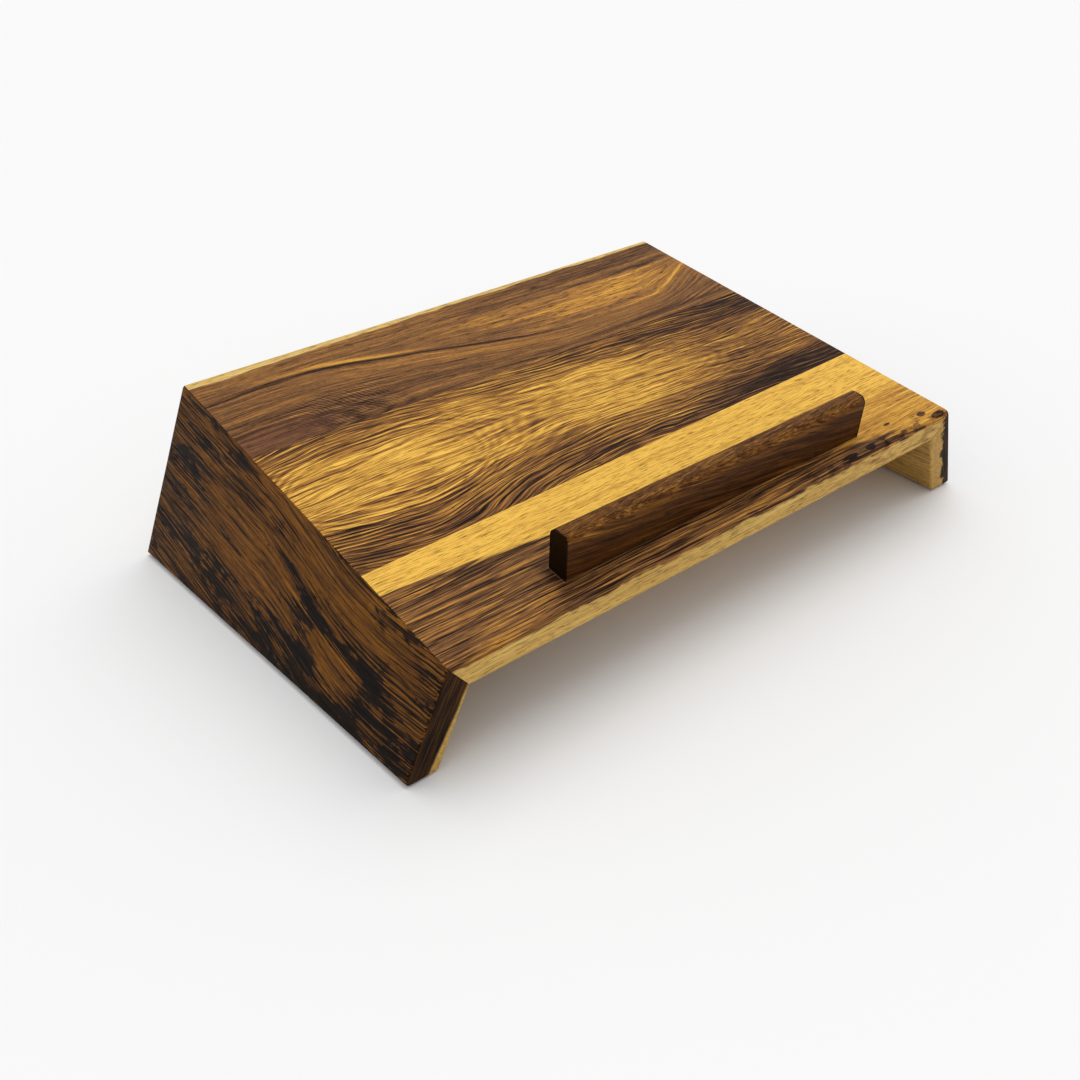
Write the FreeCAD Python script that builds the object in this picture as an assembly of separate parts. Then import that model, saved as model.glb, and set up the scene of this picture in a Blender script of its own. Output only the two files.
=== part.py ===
import FreeCAD, Part
import os
from math import atan, cos, degrees, radians, sin, tan

from FreeCAD import Vector

# A desk stand for a tablet, in solid wood.  A sloping deck of three edge-glued planks has its
# ends mitred to two side legs, which splay outwards and are cut off level with the table.  A
# narrow ledge near the low front edge stops the tablet from sliding off.  Biscuits align the
# glued seams and mitres, dowels pin the ledge, and thin round pads keep the legs from slipping.
#
# Row frame, millimetres: origin on the table under the middle of the stand's bounding box, +X
# along the deck's long side, -Y towards the user, +Z up.
#
# Shapes are first drawn in the deck's own frame and then tilted: X along the deck, Y up its
# slope from the front edge, and Z square to it, with the deck's top face at Z = 0.

# --- driving dimensions ----------------------------------------------------------------------
DECK_WIDTH = 330.0          # along X, at the top face, from one mitred corner to the other
DECK_DEPTH = 260.0          # up the slope, from the front edge to the back edge
BOARD = 16.0                # thickness of the deck planks and of the legs
DECK_TILT = 9.3             # degrees, slope of the deck to the table
LEG_SPLAY = 22.0            # degrees, outward lean of each leg from square to the deck
FRONT_DROP = 58.0           # from the deck's front top edge down to the legs' cut, square to the deck

# The planks taper a little, so each seam is given by how far up the slope it meets the deck's
# left and right corners.
FRONT_SEAM = (69.0, 75.5)
BACK_SEAM = (176.0, 168.5)

LEDGE_LENGTH = 197.0
LEDGE_WIDTH = 12.0
LEDGE_HEIGHT = 24.4
LEDGE_SETBACK = 13.6        # from the deck's front edge to the ledge's front face
LEDGE_OFFSET = 4.0          # the ledge's middle sits this far to the right of the deck's middle

# --- eased edges -----------------------------------------------------------------------------
LONG_EDGE_ROUND = 3.0       # front and back edges of the deck's top face
BOARD_EDGE_ROUND = 1.5      # all the other long edges of the boards
MITRE_EDGE_ROUND = 0.8      # outer corners where the deck meets the legs, kept crisp
INSTEP_ROUND = 3.2          # inner bottom edge of each leg
LEDGE_FRONT_ROUND = 4.0     # top edges of the ledge
LEDGE_BACK_ROUND = 5.0

# --- joinery ---------------------------------------------------------------------------------
SEAM_BISCUIT = (56.0, 23.0, 4.0)    # length, width and thickness of a number 20 biscuit
MITRE_BISCUIT = (47.0, 15.0, 4.0)   # and of a number 0
BISCUIT_TIP = 3.0                   # blunt end of a biscuit
SLOT_SLACK = 1.0                    # a slot is this much deeper than its half of the biscuit
SLOT_SLIDE = 2.0                    # and this much longer at each end
SEAM_BISCUIT_PITCH = 95.0
SEAM_BISCUIT_COUNT = 3
MITRE_BISCUIT_DEPTH = 13.0          # from the outer corner along the mitre, clear of both faces

DOWEL_RADIUS = 3.0
DOWEL_LENGTH = 22.0
DOWEL_IN_DECK = 10.0
DOWEL_BEVEL = 1.0
DOWEL_PITCH = 75.0
DOWEL_COUNT = 3
HOLE_SLACK = 1.0                    # room for glue past each end of a dowel
GLUE_FILM = 0.05                    # radial room for glue round a dowel

PAD_RADIUS = 5.0
PAD_THICKNESS = 1.5
PAD_INSET = 16.0                    # from the leg's front and back faces to the pad's centre

MARGIN = 20.0                       # how far cutting shapes reach past the wood
SAME_PLACE = 1e-3                   # two points closer than this are one corner

# --- sizes that follow -----------------------------------------------------------------------
HALF_WIDTH = DECK_WIDTH / 2
SPLAY = radians(LEG_SPLAY)
TILT = radians(DECK_TILT)
MITRE_FALL = radians((90.0 + LEG_SPLAY) / 2)    # the mitre halves the corner between deck and leg
MITRE_RUN = BOARD / tan(MITRE_FALL)             # how far the inner corner lies in from the outer
BACK_DROP = FRONT_DROP + DECK_DEPTH * tan(TILT)
REACH = BACK_DROP + MARGIN
FOOT_Z = -FRONT_DROP * cos(TILT)                # height of the legs' level cut
SEAMS = {"front_seam": FRONT_SEAM, "back_seam": BACK_SEAM}
PLANKS = {
    "front": ((0.0, 0.0), FRONT_SEAM),
    "middle": (FRONT_SEAM, BACK_SEAM),
    "back": (BACK_SEAM, (DECK_DEPTH, DECK_DEPTH)),
}
QUARTER_TURN = 90.0
SIDES = {"left": -1, "right": 1}

X_AXIS = Vector(1, 0, 0)
Y_AXIS = Vector(0, 1, 0)
Z_AXIS = Vector(0, 0, 1)
CORNER = Vector(0, 0, 0)            # middle of the deck's front top edge, where the tilt turns


def tilted(shape):
    """Turn a shape from the deck's frame to the stand's, about the deck's front top edge."""
    turned = shape.copy()
    turned.rotate(CORNER, X_AXIS, DECK_TILT)
    return turned


def tilted_point(x, up_slope, height):
    """The place in the stand's frame of a point given in the deck's frame."""
    return Vector(x, up_slope * cos(TILT) - height * sin(TILT), up_slope * sin(TILT) + height * cos(TILT))


def section(points, start, length):
    """A prism: an outline of (x, z) points at y = start, drawn out along +Y."""
    corners = [Vector(x, start, z) for x, z in points]
    outline = Part.makePolygon(corners + corners[:1])
    return Part.Face(outline).extrude(Y_AXIS * length)


def up_slope_at(line, x):
    """How far up the slope a line across the deck is at x, from its two ends at the corners."""
    left, right = line
    return left + (right - left) * (x + HALF_WIDTH) / DECK_WIDTH


def deck_region():
    """Everything between the two mitre planes, past the deck's faces and edges."""
    flare = MARGIN / tan(MITRE_FALL)
    outline = [
        (-HALF_WIDTH - flare, MARGIN),
        (HALF_WIDTH + flare, MARGIN),
        (HALF_WIDTH - MITRE_RUN - flare, -BOARD - MARGIN),
        (-HALF_WIDTH + MITRE_RUN + flare, -BOARD - MARGIN),
    ]
    return tilted(section(outline, -MARGIN, DECK_DEPTH + 2 * MARGIN))


def plank_region(low, high):
    """Everything between two lines across the deck, through its whole thickness."""
    reach = HALF_WIDTH + MARGIN
    corners = [
        Vector(x, up_slope_at(line, x), -BOARD - MARGIN)
        for line, x in ((low, -reach), (low, reach), (high, reach), (high, -reach))
    ]
    outline = Part.makePolygon(corners + corners[:1])
    return tilted(Part.Face(outline).extrude(Z_AXIS * (BOARD + 2 * MARGIN)))


# --- the boards as one channel, before they are parted ----------------------------------------
def leg_x(side, drop, depth=0.0):
    """X on a leg at a drop below the deck's top: its outer face, or a depth into the board."""
    return side * (HALF_WIDTH + drop * tan(SPLAY) - depth / cos(SPLAY))


def channel():
    """Deck and legs in one piece, cut level with the table and with every long edge eased."""
    inner_corner = HALF_WIDTH - MITRE_RUN
    outline = [
        (leg_x(-1, REACH), -REACH),
        (-HALF_WIDTH, 0),
        (HALF_WIDTH, 0),
        (leg_x(1, REACH), -REACH),
        (leg_x(1, REACH, BOARD), -REACH),
        (inner_corner, -BOARD),
        (-inner_corner, -BOARD),
        (leg_x(-1, REACH, BOARD), -REACH),
    ]
    blank = tilted(section(outline, 0, DECK_DEPTH))
    span = 2 * leg_x(1, REACH)
    below = Part.makeBox(span, DECK_DEPTH + REACH, REACH)
    below.translate(Vector(-span / 2, -MARGIN, FOOT_Z - REACH))
    return eased(blank.cut(below))


def channel_corners():
    """The channel's sharp corners by name, side and end; end 0 is the front, 1 the back."""
    corners = {}
    for end, (up_slope, drop) in enumerate(((0.0, FRONT_DROP), (DECK_DEPTH, BACK_DROP))):
        for side in SIDES.values():
            corners["top", side, end] = tilted_point(side * HALF_WIDTH, up_slope, 0)
            corners["under", side, end] = tilted_point(leg_x(side, BOARD, BOARD), up_slope, -BOARD)
            corners["foot", side, end] = tilted_point(leg_x(side, drop), up_slope, -drop)
            corners["instep", side, end] = tilted_point(leg_x(side, drop, BOARD), up_slope, -drop)
    return corners


def eased_edges():
    """Radius to the channel's edges that it rounds, each edge as its two end points."""
    at = channel_corners()
    rounds = {LONG_EDGE_ROUND: [], INSTEP_ROUND: [], BOARD_EDGE_ROUND: [], MITRE_EDGE_ROUND: []}
    for end in (0, 1):
        rounds[LONG_EDGE_ROUND].append((at["top", -1, end], at["top", 1, end]))
        rounds[BOARD_EDGE_ROUND].append((at["under", -1, end], at["under", 1, end]))
    for side in SIDES.values():
        rounds[INSTEP_ROUND].append((at["instep", side, 0], at["instep", side, 1]))
        rounds[MITRE_EDGE_ROUND].append((at["top", side, 0], at["top", side, 1]))
        rounds[BOARD_EDGE_ROUND].append((at["foot", side, 0], at["foot", side, 1]))
        for end in (0, 1):
            rounds[BOARD_EDGE_ROUND].append((at["top", side, end], at["foot", side, end]))
            rounds[BOARD_EDGE_ROUND].append((at["under", side, end], at["instep", side, end]))
    return rounds


def joins(edge, first, second):
    """Whether an edge runs between two points, either way round."""
    places = [vertex.Point for vertex in edge.Vertexes]
    one_way = places[0].isEqual(first, SAME_PLACE) and places[-1].isEqual(second, SAME_PLACE)
    other_way = places[0].isEqual(second, SAME_PLACE) and places[-1].isEqual(first, SAME_PLACE)
    return one_way or other_way


def eased(wood):
    """The channel with its edges rounded, all in one step so that their corners blend."""
    picks = []
    for radius, runs in eased_edges().items():
        for first, second in runs:
            for number, edge in enumerate(wood.Edges, start=1):
                if joins(edge, first, second):
                    picks.append((number, radius, radius))
    document = FreeCAD.newDocument("easing")
    sharp = document.addObject("Part::Feature", "sharp")
    sharp.Shape = wood
    rounded = document.addObject("Part::Fillet", "rounded")
    rounded.Base = sharp
    rounded.Edges = picks
    document.recompute()
    return rounded.Shape.copy()


# --- joinery ----------------------------------------------------------------------------------
def biscuit(length, width, thickness):
    """A biscuit round the origin: length along X, width along Y, with arcs for its long sides."""
    tip_x = length / 2
    tip_y = BISCUIT_TIP / 2
    low = -thickness / 2
    left = (Vector(-tip_x, -tip_y, low), Vector(-tip_x, tip_y, low))
    right = (Vector(tip_x, -tip_y, low), Vector(tip_x, tip_y, low))
    sides = [
        Part.Arc(left[1], Vector(0, width / 2, low), right[1]).toShape(),
        Part.makeLine(right[1], right[0]),
        Part.Arc(right[0], Vector(0, -width / 2, low), left[0]).toShape(),
        Part.makeLine(left[0], left[1]),
    ]
    return Part.Face(Part.Wire(sides)).extrude(Z_AXIS * thickness)


def biscuit_and_slot(size, placing):
    """A biscuit and the slightly longer, deeper slot that it is glued in, both put in place."""
    length, width, thickness = size
    wood = biscuit(length, width, thickness)
    slot = biscuit(length + 2 * SLOT_SLIDE, width + 2 * SLOT_SLACK, thickness)
    return placing(wood), placing(slot)


def seam_biscuits(seam, line):
    """Flat biscuits halfway through the boards, in a row along one seam of the deck."""
    pairs = {}
    slant = degrees(atan((line[1] - line[0]) / DECK_WIDTH))
    for number in range(SEAM_BISCUIT_COUNT):
        x = (number - (SEAM_BISCUIT_COUNT - 1) / 2) * SEAM_BISCUIT_PITCH

        def placing(shape, middle=Vector(x, up_slope_at(line, x), -BOARD / 2)):
            shape.rotate(CORNER, Z_AXIS, slant)
            shape.translate(middle)
            return tilted(shape)

        pairs[f"{seam}_biscuit_{number + 1}"] = biscuit_and_slot(SEAM_BISCUIT, placing)
    return pairs


def mitre_biscuits(name, side):
    """Biscuits square to one mitre, one in each plank's end, kept towards the inner corner."""
    x = side * (HALF_WIDTH - MITRE_BISCUIT_DEPTH * cos(MITRE_FALL))
    z = -MITRE_BISCUIT_DEPTH * sin(MITRE_FALL)
    pairs = {}
    for plank, (low, high) in PLANKS.items():
        up_slope = (up_slope_at(low, x) + up_slope_at(high, x)) / 2

        def placing(shape, middle=Vector(x, up_slope, z)):
            shape.rotate(CORNER, Z_AXIS, QUARTER_TURN)
            shape.rotate(CORNER, Y_AXIS, side * (QUARTER_TURN - degrees(MITRE_FALL)))
            shape.translate(middle)
            return tilted(shape)

        pairs[f"{name}_mitre_biscuit_{plank}"] = biscuit_and_slot(MITRE_BISCUIT, placing)
    return pairs


def dowel_and_hole(x, up_slope):
    """A dowel from the deck up into the ledge, and its hole, a little wider and longer."""
    low = -DOWEL_IN_DECK
    shank = Part.makeCylinder(DOWEL_RADIUS, DOWEL_LENGTH, Vector(x, up_slope, low))
    rims = [edge for edge in shank.Edges if edge.Closed]
    pin = shank.makeChamfer(DOWEL_BEVEL, rims)
    hole_start = Vector(x, up_slope, low - HOLE_SLACK)
    hole = Part.makeCylinder(DOWEL_RADIUS + GLUE_FILM, DOWEL_LENGTH + 2 * HOLE_SLACK, hole_start)
    return tilted(pin), tilted(hole)


def ledge_dowels():
    """Dowels in a row along the middle of the ledge's foot."""
    pairs = {}
    for number in range(DOWEL_COUNT):
        x = LEDGE_OFFSET + (number - (DOWEL_COUNT - 1) / 2) * DOWEL_PITCH
        pairs[f"ledge_dowel_{number + 1}"] = dowel_and_hole(x, LEDGE_SETBACK + LEDGE_WIDTH / 2)
    return pairs


# --- the remaining pieces ---------------------------------------------------------------------
def ledge():
    """The stop ledge: a bar on the deck with both of its top edges rounded."""
    corner = Vector(LEDGE_OFFSET - LEDGE_LENGTH / 2, LEDGE_SETBACK, 0)
    bar = Part.makeBox(LEDGE_LENGTH, LEDGE_WIDTH, LEDGE_HEIGHT, corner)
    for up_slope, radius in (
        (LEDGE_SETBACK, LEDGE_FRONT_ROUND),
        (LEDGE_SETBACK + LEDGE_WIDTH, LEDGE_BACK_ROUND),
    ):
        left = Vector(corner.x, up_slope, LEDGE_HEIGHT)
        right = Vector(corner.x + LEDGE_LENGTH, up_slope, LEDGE_HEIGHT)
        top_edge = [edge for edge in bar.Edges if joins(edge, left, right)]
        bar = bar.makeFillet(radius, top_edge)
    return tilted(bar)


def pads():
    """Round pads under the middle of each leg's cut end, near its front and back."""
    shapes = {}
    for name, side in SIDES.items():
        for end, up_slope in (("front", PAD_INSET), ("back", DECK_DEPTH - PAD_INSET)):
            drop = FRONT_DROP + up_slope * tan(TILT)
            spot = tilted_point(leg_x(side, drop, BOARD / 2), up_slope, -drop)
            spot.z = FOOT_Z - PAD_THICKNESS
            shapes[f"{name}_{end}_pad"] = Part.makeCylinder(PAD_RADIUS, PAD_THICKNESS, spot)
    return shapes


# --- the stand --------------------------------------------------------------------------------
def stand():
    """Every piece of the stand by node name, still with its origin at the deck's front edge."""
    joinery = ledge_dowels()
    for seam, line in SEAMS.items():
        joinery.update(seam_biscuits(seam, line))
    for name, side in SIDES.items():
        joinery.update(mitre_biscuits(name, side))
    cavities = [slot for _, slot in joinery.values()]

    wood = channel()
    deck = wood.common(deck_region())
    pieces = {}
    for plank, (low, high) in PLANKS.items():
        pieces[f"deck_{plank}_plank"] = deck.common(plank_region(low, high)).cut(cavities)
    legs = wood.cut(deck_region()).cut(cavities)
    for name, side in SIDES.items():
        pieces[f"{name}_leg"] = next(leg for leg in legs.Solids if leg.CenterOfMass.x * side > 0)
    pieces["stop_ledge"] = ledge().cut(cavities)
    pieces.update({name: wood for name, (wood, _) in joinery.items()})
    pieces.update(pads())
    return pieces


def main():
    pieces = stand()
    bounds = Part.makeCompound(list(pieces.values())).optimalBoundingBox(False)
    to_origin = Vector(-bounds.Center.x, -bounds.Center.y, -bounds.ZMin)
    os.makedirs("parts", exist_ok=True)
    for name, shape in pieces.items():
        solid = shape.Solids[0].copy()
        solid.translate(to_origin)
        solid.exportStep(os.path.join("parts", f"{name}.step"))
        print(f"{name}: {len(shape.Solids)} solid, {solid.Volume / 1000:.1f} cm3")
    print(f"size {bounds.XLength:.1f} x {bounds.YLength:.1f} x {bounds.ZLength:.1f} mm")
    print(f"shift to origin {to_origin.x:.3f} {to_origin.y:.3f} {to_origin.z:.3f} mm")


main()
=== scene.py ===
from math import cos, pi, radians, sin

import bmesh
import bpy
from mathutils import Matrix, Vector, noise


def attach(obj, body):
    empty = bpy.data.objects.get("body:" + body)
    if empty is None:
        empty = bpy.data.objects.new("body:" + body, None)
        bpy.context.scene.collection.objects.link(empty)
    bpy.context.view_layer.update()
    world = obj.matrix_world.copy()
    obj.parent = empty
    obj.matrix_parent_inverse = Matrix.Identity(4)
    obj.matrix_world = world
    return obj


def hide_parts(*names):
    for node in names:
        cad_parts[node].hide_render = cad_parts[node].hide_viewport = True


# The looks of a wooden tablet stand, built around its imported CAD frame.  Each board is a finely
# divided copy of its CAD shape whose faces and edges waver a little, as sanded wood does.  Its
# material is worked out in the board's own axes: along the grain, across the face, and deep
# into the wood, so that the figure of the timber runs over the edges and into the end grain.

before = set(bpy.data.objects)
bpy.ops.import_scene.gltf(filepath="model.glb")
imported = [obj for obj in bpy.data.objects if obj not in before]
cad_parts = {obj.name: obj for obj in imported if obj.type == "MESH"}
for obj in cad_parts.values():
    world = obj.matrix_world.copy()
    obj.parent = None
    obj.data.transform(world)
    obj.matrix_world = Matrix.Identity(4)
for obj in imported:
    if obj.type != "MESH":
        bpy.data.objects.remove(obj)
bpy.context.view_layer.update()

MM = 0.001

# --- the boards' own axes --------------------------------------------------------------------


def flat_face(node, toward):
    """The outward normal of the node's largest flat face that looks toward that direction."""
    areas = {}
    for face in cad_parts[node].data.polygons:
        normal = tuple(round(part, 3) for part in face.normal)
        areas[normal] = areas.get(normal, 0) + face.area
    return Vector(max(areas, key=lambda n: areas[n] * Vector(n).dot(toward))).normalized()


class Board:
    """The axes of one board or of a glued panel, with its origin at their lowest corner."""

    def __init__(self, nodes, along, face):
        self.along = along
        self.deep = -face
        self.across = face.cross(along)
        if self.across.z < 0 and abs(along.x) > abs(along.y):
            self.across = -self.across
        if self.across.z > 0 and abs(along.x) < abs(along.y):
            self.across = -self.across
        self.axes = (self.along, self.across, self.deep)
        spots = [v.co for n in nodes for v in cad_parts[n].data.vertices]
        low = [min(spot.dot(axis) for spot in spots) for axis in self.axes]
        high = [max(spot.dot(axis) for spot in spots) for axis in self.axes]
        self.size = [top - bottom for top, bottom in zip(high, low)]
        self.origin = sum((a * x for a, x in zip(self.axes, low)), Vector())


DECK_NODES = ("deck_front_plank", "deck_middle_plank", "deck_back_plank")
X_AXIS = Vector((1, 0, 0))
deck_face = flat_face("deck_middle_plank", Vector((0, 0, 1)))
up_slope = deck_face.cross(X_AXIS)

deck = Board(DECK_NODES, X_AXIS, deck_face)
left_leg = Board(["left_leg"], up_slope, flat_face("left_leg", -X_AXIS))
right_leg = Board(["right_leg"], up_slope, flat_face("right_leg", X_AXIS))
ledge = Board(["stop_ledge"], X_AXIS, flat_face("stop_ledge", -up_slope))

# The ledge's foot on the deck, in millimetres along and across the deck.
LEDGE_HALF = Vector((ledge.size[0], ledge.size[2])) / (2 * MM)
LEDGE_MIDDLE = LEDGE_HALF + Vector((
    (ledge.origin - deck.origin).dot(deck.along),
    (ledge.origin - deck.origin).dot(deck.across),
)) / MM

# --- writing materials as formulas -----------------------------------------------------------


def join(value, socket):
    """Feeds a wire or a plain value to a node's input."""
    if isinstance(value, Wire):
        socket.id_data.links.new(value.socket, socket)
    else:
        socket.default_value = value


class Wire:
    """An output in a material's node tree that adds, multiplies and so on like a number."""

    def __init__(self, socket):
        self.socket = socket

    def node(self, kind, *values, **settings):
        made = self.socket.id_data.nodes.new("ShaderNode" + kind)
        for name, value in settings.items():
            setattr(made, name, value)
        for socket, value in zip(made.inputs, values):
            join(value, socket)
        return made

    def maths(self, operation, *others, **settings):
        return Wire(self.node("Math", self, *others, operation=operation, **settings).outputs[0])

    def __add__(self, other):
        return self.maths("ADD", other)

    def __sub__(self, other):
        return self.maths("SUBTRACT", other)

    def __mul__(self, other):
        return self.maths("MULTIPLY", other)

    def __truediv__(self, other):
        return self.maths("DIVIDE", other)

    def __neg__(self):
        return self * -1.0

    __radd__ = __add__
    __rmul__ = __mul__

    def __rsub__(self, other):
        return -self + other

    def lower(self, other):
        return self.maths("MINIMUM", other)

    def upper(self, other):
        return self.maths("MAXIMUM", other)

    def clamp(self):
        return self.maths("ADD", 0.0, use_clamp=True)

    def root(self):
        return self.maths("SQRT")

    def size(self):
        return self.maths("ABSOLUTE")

    def sine(self):
        return self.maths("SINE")

    def step(self, low, high):
        """0 up to low, 1 from high, and smooth in between."""
        ease = self.node("MapRange", self, low, high, interpolation_type="SMOOTHSTEP")
        return Wire(ease.outputs[0])

    def window(self, low, high, soft):
        """1 from low to high and 0 outside, fading over soft at each end."""
        return self.step(low - soft, low + soft) * (1.0 - self.step(high - soft, high + soft))

    def hump(self, middle, spread):
        """A bell of height 1 about middle."""
        offset = (self - middle) / spread
        return (-(offset * offset)).maths("EXPONENT")


def speckle(x, y, z, detail=2.0, roughness=0.5, distortion=0.0):
    """Cloudy noise about zero, mostly within a quarter either way."""
    spot = x.node("CombineXYZ", x, y, z)
    made = x.node("TexNoise", Wire(spot.outputs[0]))
    made.inputs["Scale"].default_value = 1.0
    made.inputs["Detail"].default_value = detail
    made.inputs["Roughness"].default_value = roughness
    made.inputs["Distortion"].default_value = distortion
    return Wire(made.outputs[0]) - 0.5


def rgb(code):
    """A colour code as light intensities."""
    parts = [int(code[place:place + 2], 16) / 255 for place in (0, 2, 4)]
    return tuple(p / 12.92 if p <= 0.04045 else ((p + 0.055) / 1.055) ** 2.4 for p in parts) + (1.0,)


def blend(share, first, second):
    """The first colour where share is 0 and the second where it is 1."""
    made = share.node("Mix", share.clamp(), data_type="RGBA")
    join(first, made.inputs[6])
    join(second, made.inputs[7])
    return Wire(made.outputs[2])


def shades(tone, *codes):
    """Evenly spaced colours, from the first at tone 0 to the last at tone 1."""
    made = tone.node("ValToRGB", tone)
    stops = made.color_ramp.elements
    for number, code in enumerate(codes):
        place = number / (len(codes) - 1)
        stop = stops[number] if number < 2 else stops.new(place)
        stop.position = place
        stop.color = rgb(code)
    return Wire(made.outputs[0])


class Grain:
    """A material in a board's own axes, in millimetres, with the streaks all its boards share."""

    def __init__(self, name, board, seed):
        self.material = bpy.data.materials.new(name)
        self.material.use_nodes = True
        tree = self.material.node_tree
        self.shader = next(n for n in tree.nodes if n.type == "BSDF_PRINCIPLED")
        spot = Wire(tree.nodes.new("ShaderNodeTexCoord").outputs["Object"])
        moved = spot.node("VectorMath", spot, board.origin, operation="SUBTRACT").outputs[0]
        self.along, self.across, self.deep = (
            Wire(spot.node("VectorMath", Wire(moved), axis / MM, operation="DOT_PRODUCT").outputs[1])
            for axis in board.axes
        )
        self.seed = seed

    def cloud(self, length, width, detail=2.0, offset=0.0):
        """Patches of about that size along and across the board."""
        place = self.seed + offset
        return speckle(self.along / length + place, self.across / width, self.deep / width, detail)

    def streaks(self, flow, length, width, detail=2.0, offset=0.0):
        """Streaks of about that length and width which follow the lines of equal flow."""
        place = self.seed + offset
        return speckle(self.along / length + place, flow / width, self.deep / width, detail)

    def fibre(self, flow, broad, lines, hairs, scale=1.0):
        """Broad soft streaks, crisp lines and fine hairs together, each by its own strength."""
        soft = self.streaks(flow, 80.0 * scale, 2.8 * scale)
        crisp = self.streaks(flow, 50.0 * scale, 0.95 * scale, 2.0, 5.0).step(-0.07, 0.07) - 0.5
        thin = self.streaks(flow, 24.0 * scale, 0.5 * scale, 1.0, 9.0).step(-0.09, 0.09) - 0.5
        return soft * broad + crisp * lines + thin * hairs

    def lines(self, flow, length, width, cut, offset=0.0):
        """Crisp lines along the flow, from 0 to 1; the lower the cut, the more and the wider."""
        return self.streaks(flow, length, width, 2.0, offset).step(cut - 0.04, cut + 0.05)

    def pores(self, flow):
        """Short dark grooves along the grain, from 0 to 1."""
        return self.streaks(flow, 8.0, 0.45, 1.0, 14.0).step(0.07, 0.15)

    def finish(self, colour, flow, sheen=0.5, depth=0.6):
        """A thin satin oil over wood of that colour: the pores stay open, dark and dull."""
        pores = self.pores(flow)
        ridges = self.streaks(flow, 20.0, 0.7, 1.0, 21.0)
        hand = self.cloud(60.0, 40.0, 2.0, 31.0)
        join(blend(pores * depth, colour, rgb("1c100a")), self.shader.inputs["Base Color"])
        rough = pores * 0.25 + ridges * 0.16 + hand * 0.14 + sheen
        join(rough, self.shader.inputs["Roughness"])
        height = ridges * 0.35 - pores
        bump = height.node("Bump")
        bump.inputs["Strength"].default_value = 0.35
        bump.inputs["Distance"].default_value = 0.12 * MM
        join(height, bump.inputs["Height"])
        join(Wire(bump.outputs[0]), self.shader.inputs["Normal"])
        self.shader.inputs["Specular IOR Level"].default_value = 0.05
        return self.material


HEARTWOOD = ("1a0f08", "442a19", "71492b", "9c6b30", "c58f3a", "efbd52")
GREY_HEARTWOOD = ("201209", "4a301d", "744f30", "9b6a36", "c28a38", "dfa844")
PALE_SAPWOOD = ("5a3620", "87603a", "a8824a", "c39c52", "d4ae62", "e6c884")
LEG_HEARTWOOD = ("070402", "1d1208", "45290f", "6f4412", "976219", "bc8632")
LEDGE_HEARTWOOD = ("0a0502", "231207", "4a2a10", "74491a", "9a6e30", "bd9450")

# --- the boards' figure ----------------------------------------------------------------------


def waves(distance, pitch):
    """Even ribs, from 0 to 1 and back over each pitch."""
    return (distance * (2 * pi / pitch)).sine() * 0.5 + 0.5


def from_foot(wood):
    """How far a place on the deck is from the ledge's foot."""
    spread = ((wood.along - LEDGE_MIDDLE.x).size() - LEDGE_HALF.x).upper(
        (wood.across - LEDGE_MIDDLE.y).size() - LEDGE_HALF.y
    )
    return spread


def foot_line(wood):
    """The thin dry line of finish that is left round the ledge's foot."""
    return from_foot(wood).hump(0.35, 0.3)


def darker_round_foot(wood):
    """Darker wood close round the ledge's left end, fading out 9 mm from its foot."""
    return from_foot(wood).step(9.0, 0.0) * wood.along.step(LEDGE_MIDDLE.x - 60.0, LEDGE_MIDDLE.x - 96.0)


def front_plank_wood():
    """A golden sapwood band behind, then streaked heartwood that runs out towards the right."""
    wood = Grain("oiled_front_plank", deck, 3.0)
    wave = wood.cloud(70.0, 18.0)
    flow = wood.across + wave * 5.0
    edge = 54.0 - (wood.along.upper(0.0) / 312.0).maths("POWER", 1.2) * 54.0
    ragged = wood.streaks(flow, 38.0, 2.6, 2.0, 40.0) * 14.0
    heart = (edge - flow + ragged).step(-1.5, 2.5)
    dark = wood.lines(flow, 46.0, 1.3, wood.cloud(60.0, 8.0, 2.0, 44.0) * 0.5 + 0.03, 45.0)
    heart_tone = 0.48 + wood.fibre(flow, 0.8, 0.24, 0.28) - (flow - edge).hump(-1.0, 3.0) * 0.16
    heart_tone = heart_tone - dark * 0.28
    sap_tone = 0.96 + wood.fibre(flow, 0.4, 0.1, 0.12) - wood.across.step(46.0, 30.0) * 0.18
    marks = darker_round_foot(wood) * 0.3
    for middle, place, length, width in (
        (314.0, 7.5, 4.0, 2.0),
        (322.0, 2.5, 5.5, 2.2),
        (250.0, 3.0, 6.0, 1.8),
        (266.0, 3.0, 4.0, 1.8),
        (290.0, 12.0, 3.0, 1.0),
    ):
        spot = wood.along.hump(middle, length) * wood.across.hump(place, width)
        marks = marks + (spot + wood.cloud(6.0, 3.0) * 0.5).step(0.35, 0.6) * 0.55
    mottle = wood.cloud(7.0, 4.0, 2.0, 11.0).step(0.0, 0.12) * wood.along.step(170.0, 290.0)
    marks = marks + mottle * (wood.across + wood.deep).step(9.0, 1.0) * 0.3
    face = blend(heart, shades(sap_tone - marks, *HEARTWOOD), shades(heart_tone - marks, *GREY_HEARTWOOD))
    pale = (wood.deep - wood.across * 0.5 - 3.6 + wood.cloud(11.0, 9.0) * 6.0).step(-0.6, 0.8)
    low_tone = 0.66 + wood.fibre(wood.deep, 0.5, 0.14, 0.16)
    low_tone = low_tone - wood.cloud(14.0, 5.0, 2.0, 7.0).step(-0.02, 0.1) * wood.along.step(190.0, 290.0) * 0.3
    colour = blend(pale, face, shades(low_tone, *PALE_SAPWOOD))
    colour = blend(foot_line(wood) * 0.4, colour, rgb("8a6a48"))
    return wood.finish(colour, flow)


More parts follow.
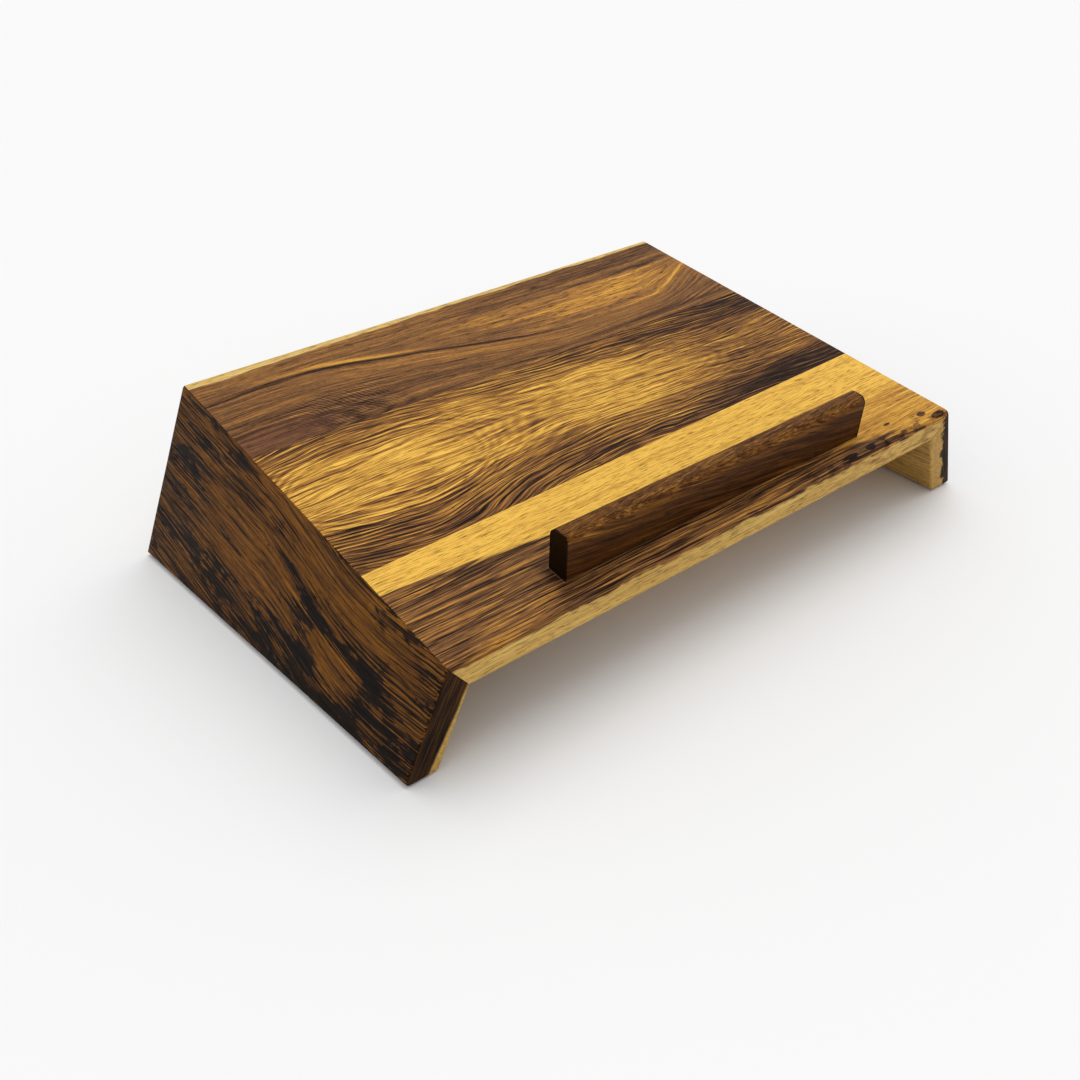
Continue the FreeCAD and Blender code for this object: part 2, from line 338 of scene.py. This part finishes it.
def middle_plank_wood():
    """Rings cut almost flat: a long golden oval at the left, and dark ribs towards both seams."""
    wood = Grain("oiled_middle_plank", deck, 17.0)
    wander = wood.cloud(80.0, 30.0) * 14.0 + wood.cloud(34.0, 14.0, 1.0, 3.0) * 2.4
    offset = wood.across - 130.0 + wander + wood.along.step(120.0, 320.0) * 12.0
    far = offset.size()
    flow = offset / (wood.along.hump(50.0, 60.0) * 0.5 + 1.0)
    opening = (1.0 - wood.along.hump(48.0, 58.0)) * 42.0
    rings = (offset * offset + opening * opening).root()
    oval = rings.window(24.0, 50.0, 7.0) * (1.0 - wood.along.step(130.0, 170.0))
    right = (wood.along - 222.0) / 2.6
    nose = (offset * offset + right * right).root()
    tip = nose.window(12.0, 28.0, 5.0) * wood.along.step(222.0, 250.0) * 0.6
    outer = far.step(16.0, 34.0)
    drift = wood.streaks(flow, 70.0, 14.0, 1.0, 50.0) * 6.0
    ribs = waves(rings + drift, 2.9) * oval * (1.0 - wood.along.hump(116.0, 30.0) * 0.72) * 0.4 + waves(nose + drift, 3.2) * tip * 0.24
    ribs = ribs + waves(flow + drift, 2.7) * outer * (1.0 - oval) * 0.38
    strength = (wood.cloud(44.0, 14.0, 2.0, 6.0) * 2.2 + 0.85).clamp()
    dark = wood.lines(flow, 40.0, 1.0, 0.1 - outer * 0.08 - wood.along.step(180.0, 300.0) * 0.07, 45.0)
    tone = 0.82 - outer * 0.1 + wood.fibre(flow, 0.7, 0.2, 0.34) - ribs * strength - dark * 0.26
    tone = tone - wood.along.step(190.0, 310.0) * 0.28
    tone = tone - wood.across.step(98.0, 78.0) * 0.14
    return wood.finish(shades(tone, *HEARTWOOD), flow)


def back_plank_wood():
    """Grey-brown heartwood with a long golden eye at the right and a pale back edge."""
    wood = Grain("oiled_back_plank", deck, 29.0)
    along = wood.along
    level = wood.across + wood.cloud(80.0, 26.0) * 6.0 + wood.cloud(30.0, 9.0, 2.0, 3.0) * 2.0
    top = 236.0 - along.step(50.0, 200.0) * 4.0
    depth = along.step(38.0, 232.0) * (1.0 - along.step(275.0, 360.0) * 0.95) * 38.0 + 0.5
    low = top - depth
    below = ((level - 160.0) / (low - 160.0)).clamp()
    inside = ((level - low) / depth).clamp()
    flow = below * 74.0 + inside * 20.0 + (level - top).upper(0.0)
    tone = 0.46 + wood.fibre(flow, 0.7, 0.06, 0.2) + wood.cloud(2.4, 1.0, 2.0, 33.0) * 0.26
    tone = tone + wood.streaks(flow, 130.0, 6.0, 2.0, 37.0) * 0.5
    tone = tone - along.step(110.0, 270.0) * level.step(233.0, 244.0) * 0.2
    tone = tone - (1.0 - inside) * (1.0 - level.step(236.0, 238.0)) * 0.06
    eye = along.hump(262.0, 56.0) * level.hump(213.0, 14.0)
    tone = tone + inside.window(0.0, 1.0, 0.1) * along.step(90.0, 210.0) * 0.13 + eye * 0.18
    streak = (level - low).hump(2.4, 1.8) * along.window(50.0, 120.0, 30.0)
    tone = tone + streak * 0.5 + (level - low).hump(-8.5, 3.6) * along.window(20.0, 200.0, 30.0) * 0.2
    tone = tone - (level - low).hump(-0.8, 1.1) * along.window(60.0, 196.0, 24.0) * 0.42
    tone = tone + (level - low).hump(1.0, 2.2) * along.window(238.0, 340.0, 24.0) * 0.22
    tone = tone - (level - top).hump(0.0, 2.2) * along.window(200.0, 318.0, 22.0) * 0.28
    tone = tone - (level - 231.5).hump(0.0, 1.0) * along.step(64.0, 30.0) * 0.4
    tone = tone - (wood.across - 176.0).hump(0.0, 2.2) * along.step(120.0, 190.0) * 0.22
    arch = along.hump(16.0, 52.0) * level.hump(186.0, 13.0)
    ripple = waves(along + wood.cloud(9.0, 9.0) * 6.0 + level * 0.6, 2.6) - 0.5
    ripples = along.window(34.0, 88.0, 12.0) * level.window(178.0, 206.0, 8.0)
    dome = (along - 12.0) / 3.4
    dome = ((level - 181.0) * (level - 181.0) + dome * dome).root()
    tone = tone - arch.step(0.3, 0.8) * 0.03 + ripple * ripples * 0.26
    tone = tone - waves(dome + wood.cloud(20.0, 6.0) * 5.0, 4.6) * dome.window(6.0, 24.0, 3.0) * 0.2
    tone = tone - along.hump(225.0, 3.0) * wood.across.hump(245.0, 1.4) * 0.3
    colour = blend(arch.step(0.3, 0.8) * 0.45, shades(tone, *GREY_HEARTWOOD), rgb("6e4634"))
    edge = 252.6 + along.step(60.0, 260.0) * 2.8 + wood.cloud(34.0, 60.0) * 7.0
    pale = (wood.across - edge + wood.deep * 0.25).step(-0.5, 0.9)
    pale_tone = 0.84 + wood.fibre(wood.across, 0.5, 0.1, 0.1)
    return wood.finish(blend(pale, colour, shades(pale_tone, *PALE_SAPWOOD)), flow)


def leg_tone(wood, board, patches):
    """Very dark wood with lighter patches, given by place and half size, that black lines rim.

    The cut ends show the growth rings as thin layers that run down the board."""
    dive = wood.along.step(150.0, 0.0) * wood.along * -0.2
    flow = wood.across + dive + wood.cloud(70.0, 18.0) * 5.0
    field = wood.cloud(34.0, 12.0, 3.0, 60.0) * 1.1
    for along, across, length, width in patches:
        field = field + wood.along.hump(along, length) * flow.hump(across, width)
    light = field.step(0.25, 0.8)
    blots = wood.cloud(40.0, 14.0, 5.0, 70.0) + wood.cloud(7.0, 3.0, 3.0, 75.0) * 0.5
    low = wood.across.step(20.0, 60.0) * wood.along.step(150.0, 90.0)
    black = (blots + field.hump(0.2, 0.12) * 0.18 + low * 0.1).step(0.06, 0.26)
    hairs = wood.lines(flow, 50.0, 1.0, 0.01 - black * 0.14 + light * 0.1, 5.0)
    fine = wood.lines(flow, 26.0, 0.55, 0.02, 9.0)
    soft = wood.streaks(flow, 60.0, 3.0) * 0.6
    tone = 0.62 + soft - hairs * 0.4 - fine * (0.22 - light * 0.1) - black * 0.08
    ends = wood.along.window(0.4, board.size[0] / MM - 0.4, 0.2)
    rings = wood.deep + wood.across * 0.06 + wood.cloud(8.0, 24.0) * 2.0
    layers = speckle(wood.across / 26.0, rings / 0.9, wood.along / 40.0) * 1.1
    return tone * ends + (layers + 0.27) * (1.0 - ends), flow


def left_leg_wood():
    """Dark heartwood outside and a strip of sapwood on the inner face."""
    wood = Grain("oiled_left_leg", left_leg, 43.0)
    tone, flow = leg_tone(
        wood,
        left_leg,
        ((90.0, 8.0, 90.0, 14.0), (70.0, 44.0, 22.0, 11.0), (165.0, 46.0, 60.0, 24.0)),
    )
    inner = 15.4 - wood.across * 0.085 + wood.cloud(30.0, 20.0) * 3.0
    sap = (wood.deep - inner).step(-0.5, 1.2)
    sap_tone = 0.55 + wood.fibre(flow, 0.6, 0.14, 0.14, 0.8)
    colour = blend(sap, shades(tone, *LEG_HEARTWOOD), shades(sap_tone, *PALE_SAPWOOD))
    return wood.finish(colour, flow, 0.5)


def right_leg_wood():
    """Sapwood inside and dark heartwood on the outer face."""
    wood = Grain("oiled_right_leg", right_leg, 71.0)
    tone, flow = leg_tone(wood, right_leg, ((60.0, 30.0, 50.0, 14.0), (190.0, 52.0, 60.0, 20.0)))
    inner = 6.2 + wood.cloud(14.0, 9.0) * 12.0
    sap = (wood.deep - inner).step(-0.5, 1.2)
    sap_tone = 0.5 + wood.fibre(flow, 0.6, 0.14, 0.14, 0.8)
    colour = blend(sap, shades(tone, *LEG_HEARTWOOD), shades(sap_tone, *PALE_SAPWOOD))
    return wood.finish(colour, flow, 0.5)


def ledge_wood():
    """Walnut brown with slanting lines on top, painted light that makes the top paler than the front, and
    almost black ends.
    """
    wood = Grain("oiled_ledge", ledge, 57.0)
    slant = wood.across - wood.deep * 0.9 + wood.along * 0.14
    flow = slant + wood.cloud(50.0, 14.0) * 5.0
    ends = wood.along.window(0.6, ledge.size[0] / MM - 0.6, 0.5)
    # Painted light: the top face is painted paler than the front by a fixed lift, as if lit from above; the
    # slanting lines on it are grain.
    top = wood.across.step(15.0, 22.0)
    tone = 0.36 + wood.fibre(flow, 0.6, 0.06, 0.12, 0.8)
    tone = tone + top * (wood.lines(flow, 36.0, 0.8, 0.04, 5.0) * 0.18 + 0.1)
    tone = tone * (ends * 0.75 + 0.25)
    return wood.finish(shades(tone, *LEDGE_HEARTWOOD), flow, 0.42)


def beech():
    """Pale pressed beech with short brown flecks, for biscuits and dowels."""
    wood = Grain("pressed_beech", deck, 83.0)
    tone = 0.6 + wood.fibre(wood.across, 0.3, 0.2, 0.2)
    flecks = wood.streaks(wood.across, 2.2, 0.3, 1.0, 8.0).step(0.12, 0.22)
    colour = blend(flecks * 0.5, shades(tone, "a5774c", "c79a68", "dfba8a"), rgb("8a5a36"))
    return wood.finish(colour, wood.across, 0.7)


def rubber():
    """Matt black rubber with a fine tooth."""
    wood = Grain("tooth_rubber", deck, 91.0)
    tooth = speckle(wood.along * 3.0, wood.across * 3.0, wood.deep * 3.0, 3.0)
    join(shades(tooth + 0.5, "101011", "1b1b1c", "29292a"), wood.shader.inputs["Base Color"])
    join(tooth * 0.3 + 0.78, wood.shader.inputs["Roughness"])
    bump = tooth.node("Bump")
    bump.inputs["Strength"].default_value = 0.4
    bump.inputs["Distance"].default_value = 0.1 * MM
    join(tooth, bump.inputs["Height"])
    join(Wire(bump.outputs[0]), wood.shader.inputs["Normal"])
    return wood.material


# --- the pieces ------------------------------------------------------------------------------

SAME_SPOT = 0.002 * MM
FLAT_ANGLE = radians(0.4)
SMOOTH_ANGLE = radians(32)
GRID_STEP = 5 * MM
SANDING_WAVE = 26 * MM
SANDING_DEPTH = 0.05 * MM


def divided(node, board, step):
    """A copy of a CAD shape cut into an even grid along the board's axes."""
    form = bmesh.new()
    form.from_mesh(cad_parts[node].data)
    bmesh.ops.remove_doubles(form, verts=form.verts, dist=SAME_SPOT)
    bmesh.ops.dissolve_limit(form, angle_limit=FLAT_ANGLE, verts=form.verts, edges=form.edges)
    for axis in board.axes:
        places = [vertex.co.dot(axis) for vertex in form.verts]
        low, high = min(places), max(places)
        count = max(1, round((high - low) / step))
        for number in range(1, count):
            place = low + (high - low) * number / count
            everything = form.verts[:] + form.edges[:] + form.faces[:]
            bmesh.ops.bisect_plane(form, geom=everything, plane_co=axis * place, plane_no=axis)
    return form


def sanded(form, seed):
    """Lets the surface waver by a few hundredths of a millimetre, as hand sanding leaves it."""
    form.normal_update()
    shift = Vector((seed, seed, seed))
    for vertex in form.verts:
        wave = noise.noise(vertex.co / SANDING_WAVE + shift)
        vertex.co += vertex.normal * wave * SANDING_DEPTH


def piece(name, node, board, material, seed, step=GRID_STEP):
    """A finished mesh that stands for a CAD node."""
    form = divided(node, board, step)
    sanded(form, seed)
    mesh = bpy.data.meshes.new(name)
    form.to_mesh(mesh)
    form.free()
    mesh.shade_smooth()
    mesh.set_sharp_from_angle(angle=SMOOTH_ANGLE)
    mesh.materials.append(material)
    made = bpy.data.objects.new(name, mesh)
    bpy.context.scene.collection.objects.link(made)
    shading = made.modifiers.new("even shading", "WEIGHTED_NORMAL")
    shading.keep_sharp = True
    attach(made, "root")
    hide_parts(node)
    return made


def boards():
    for name, node, board, figure in (
        ("front_plank", "deck_front_plank", deck, front_plank_wood),
        ("middle_plank", "deck_middle_plank", deck, middle_plank_wood),
        ("back_plank", "deck_back_plank", deck, back_plank_wood),
        ("left_side", "left_leg", left_leg, left_leg_wood),
        ("right_side", "right_leg", right_leg, right_leg_wood),
        ("ledge", "stop_ledge", ledge, ledge_wood),
    ):
        piece(name, node, board, figure(), len(node))


def joinery():
    """The biscuits, dowels and pads keep their CAD shapes and get finished materials."""
    pale = beech()
    black = rubber()
    for name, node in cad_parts.items():
        inner = "biscuit" in name or "dowel" in name
        if inner or name.endswith("_pad"):
            node.data.materials.clear()
            node.data.materials.append(pale if inner else black)


# --- floor, light and camera -----------------------------------------------------------------

FLOOR_REACH = 8.0
FLOOR_SHADE = 0.86


def floor():
    form = bmesh.new()
    bmesh.ops.create_circle(form, cap_ends=True, segments=96, radius=FLOOR_REACH)
    mesh = bpy.data.meshes.new("floor")
    form.to_mesh(mesh)
    form.free()
    paper = bpy.data.materials.new("floor")
    paper.use_nodes = True
    shader = next(n for n in paper.node_tree.nodes if n.type == "BSDF_PRINCIPLED")
    shader.inputs["Base Color"].default_value = (FLOOR_SHADE, FLOOR_SHADE, FLOOR_SHADE, 1)
    shader.inputs["Roughness"].default_value = 0.9
    shader.inputs["Specular IOR Level"].default_value = 0.1
    mesh.materials.append(paper)
    made = bpy.data.objects.new("floor", mesh)
    bpy.context.scene.collection.objects.link(made)


SKY_STRENGTH = 0.78
KEY_STRENGTH = 1.15
KEY_SPREAD = radians(60)
KEY_DIRECTION = Vector((0.45, 0.1, 1.0))


def studio():
    scene = bpy.context.scene
    scene.world = bpy.data.worlds.new("studio")
    scene.world.use_nodes = True
    sky = scene.world.node_tree.nodes["Background"]
    sky.inputs["Color"].default_value = (1, 1, 1, 1)
    sky.inputs["Strength"].default_value = SKY_STRENGTH
    scene.view_settings.view_transform = "Standard"
    lamp = bpy.data.lights.new("softbox", "SUN")
    lamp.energy = KEY_STRENGTH
    lamp.angle = KEY_SPREAD
    made = bpy.data.objects.new("softbox", lamp)
    made.rotation_mode = "QUATERNION"
    made.rotation_quaternion = KEY_DIRECTION.to_track_quat("Z", "Y")
    scene.collection.objects.link(made)


CAMERA_AIM = Vector((4, -7, 0)) * MM
CAMERA_DISTANCE = 0.6484
CAMERA_TURN = radians(-36.64)
CAMERA_RISE = radians(31.59)
CAMERA_ROLL = radians(3.71)
CAMERA_LENS = 36.76
CAMERA_SHIFT = (-0.0398, -0.0204)


def camera():
    """Looks down at the stand from in front and to the left."""
    lens = bpy.data.cameras.new("camera")
    lens.lens = CAMERA_LENS
    lens.shift_x, lens.shift_y = CAMERA_SHIFT
    back = Vector((
        sin(CAMERA_TURN) * cos(CAMERA_RISE),
        -cos(CAMERA_TURN) * cos(CAMERA_RISE),
        sin(CAMERA_RISE),
    ))
    made = bpy.data.objects.new("camera", lens)
    made.rotation_mode = "QUATERNION"
    roll = Matrix.Rotation(-CAMERA_ROLL, 3, "Z").to_quaternion()
    made.rotation_quaternion = (-back).to_track_quat("-Z", "Y") @ roll
    made.location = CAMERA_AIM + back * CAMERA_DISTANCE
    bpy.context.scene.collection.objects.link(made)
    bpy.context.scene.camera = made


camera()
studio()
floor()
boards()
joinery()
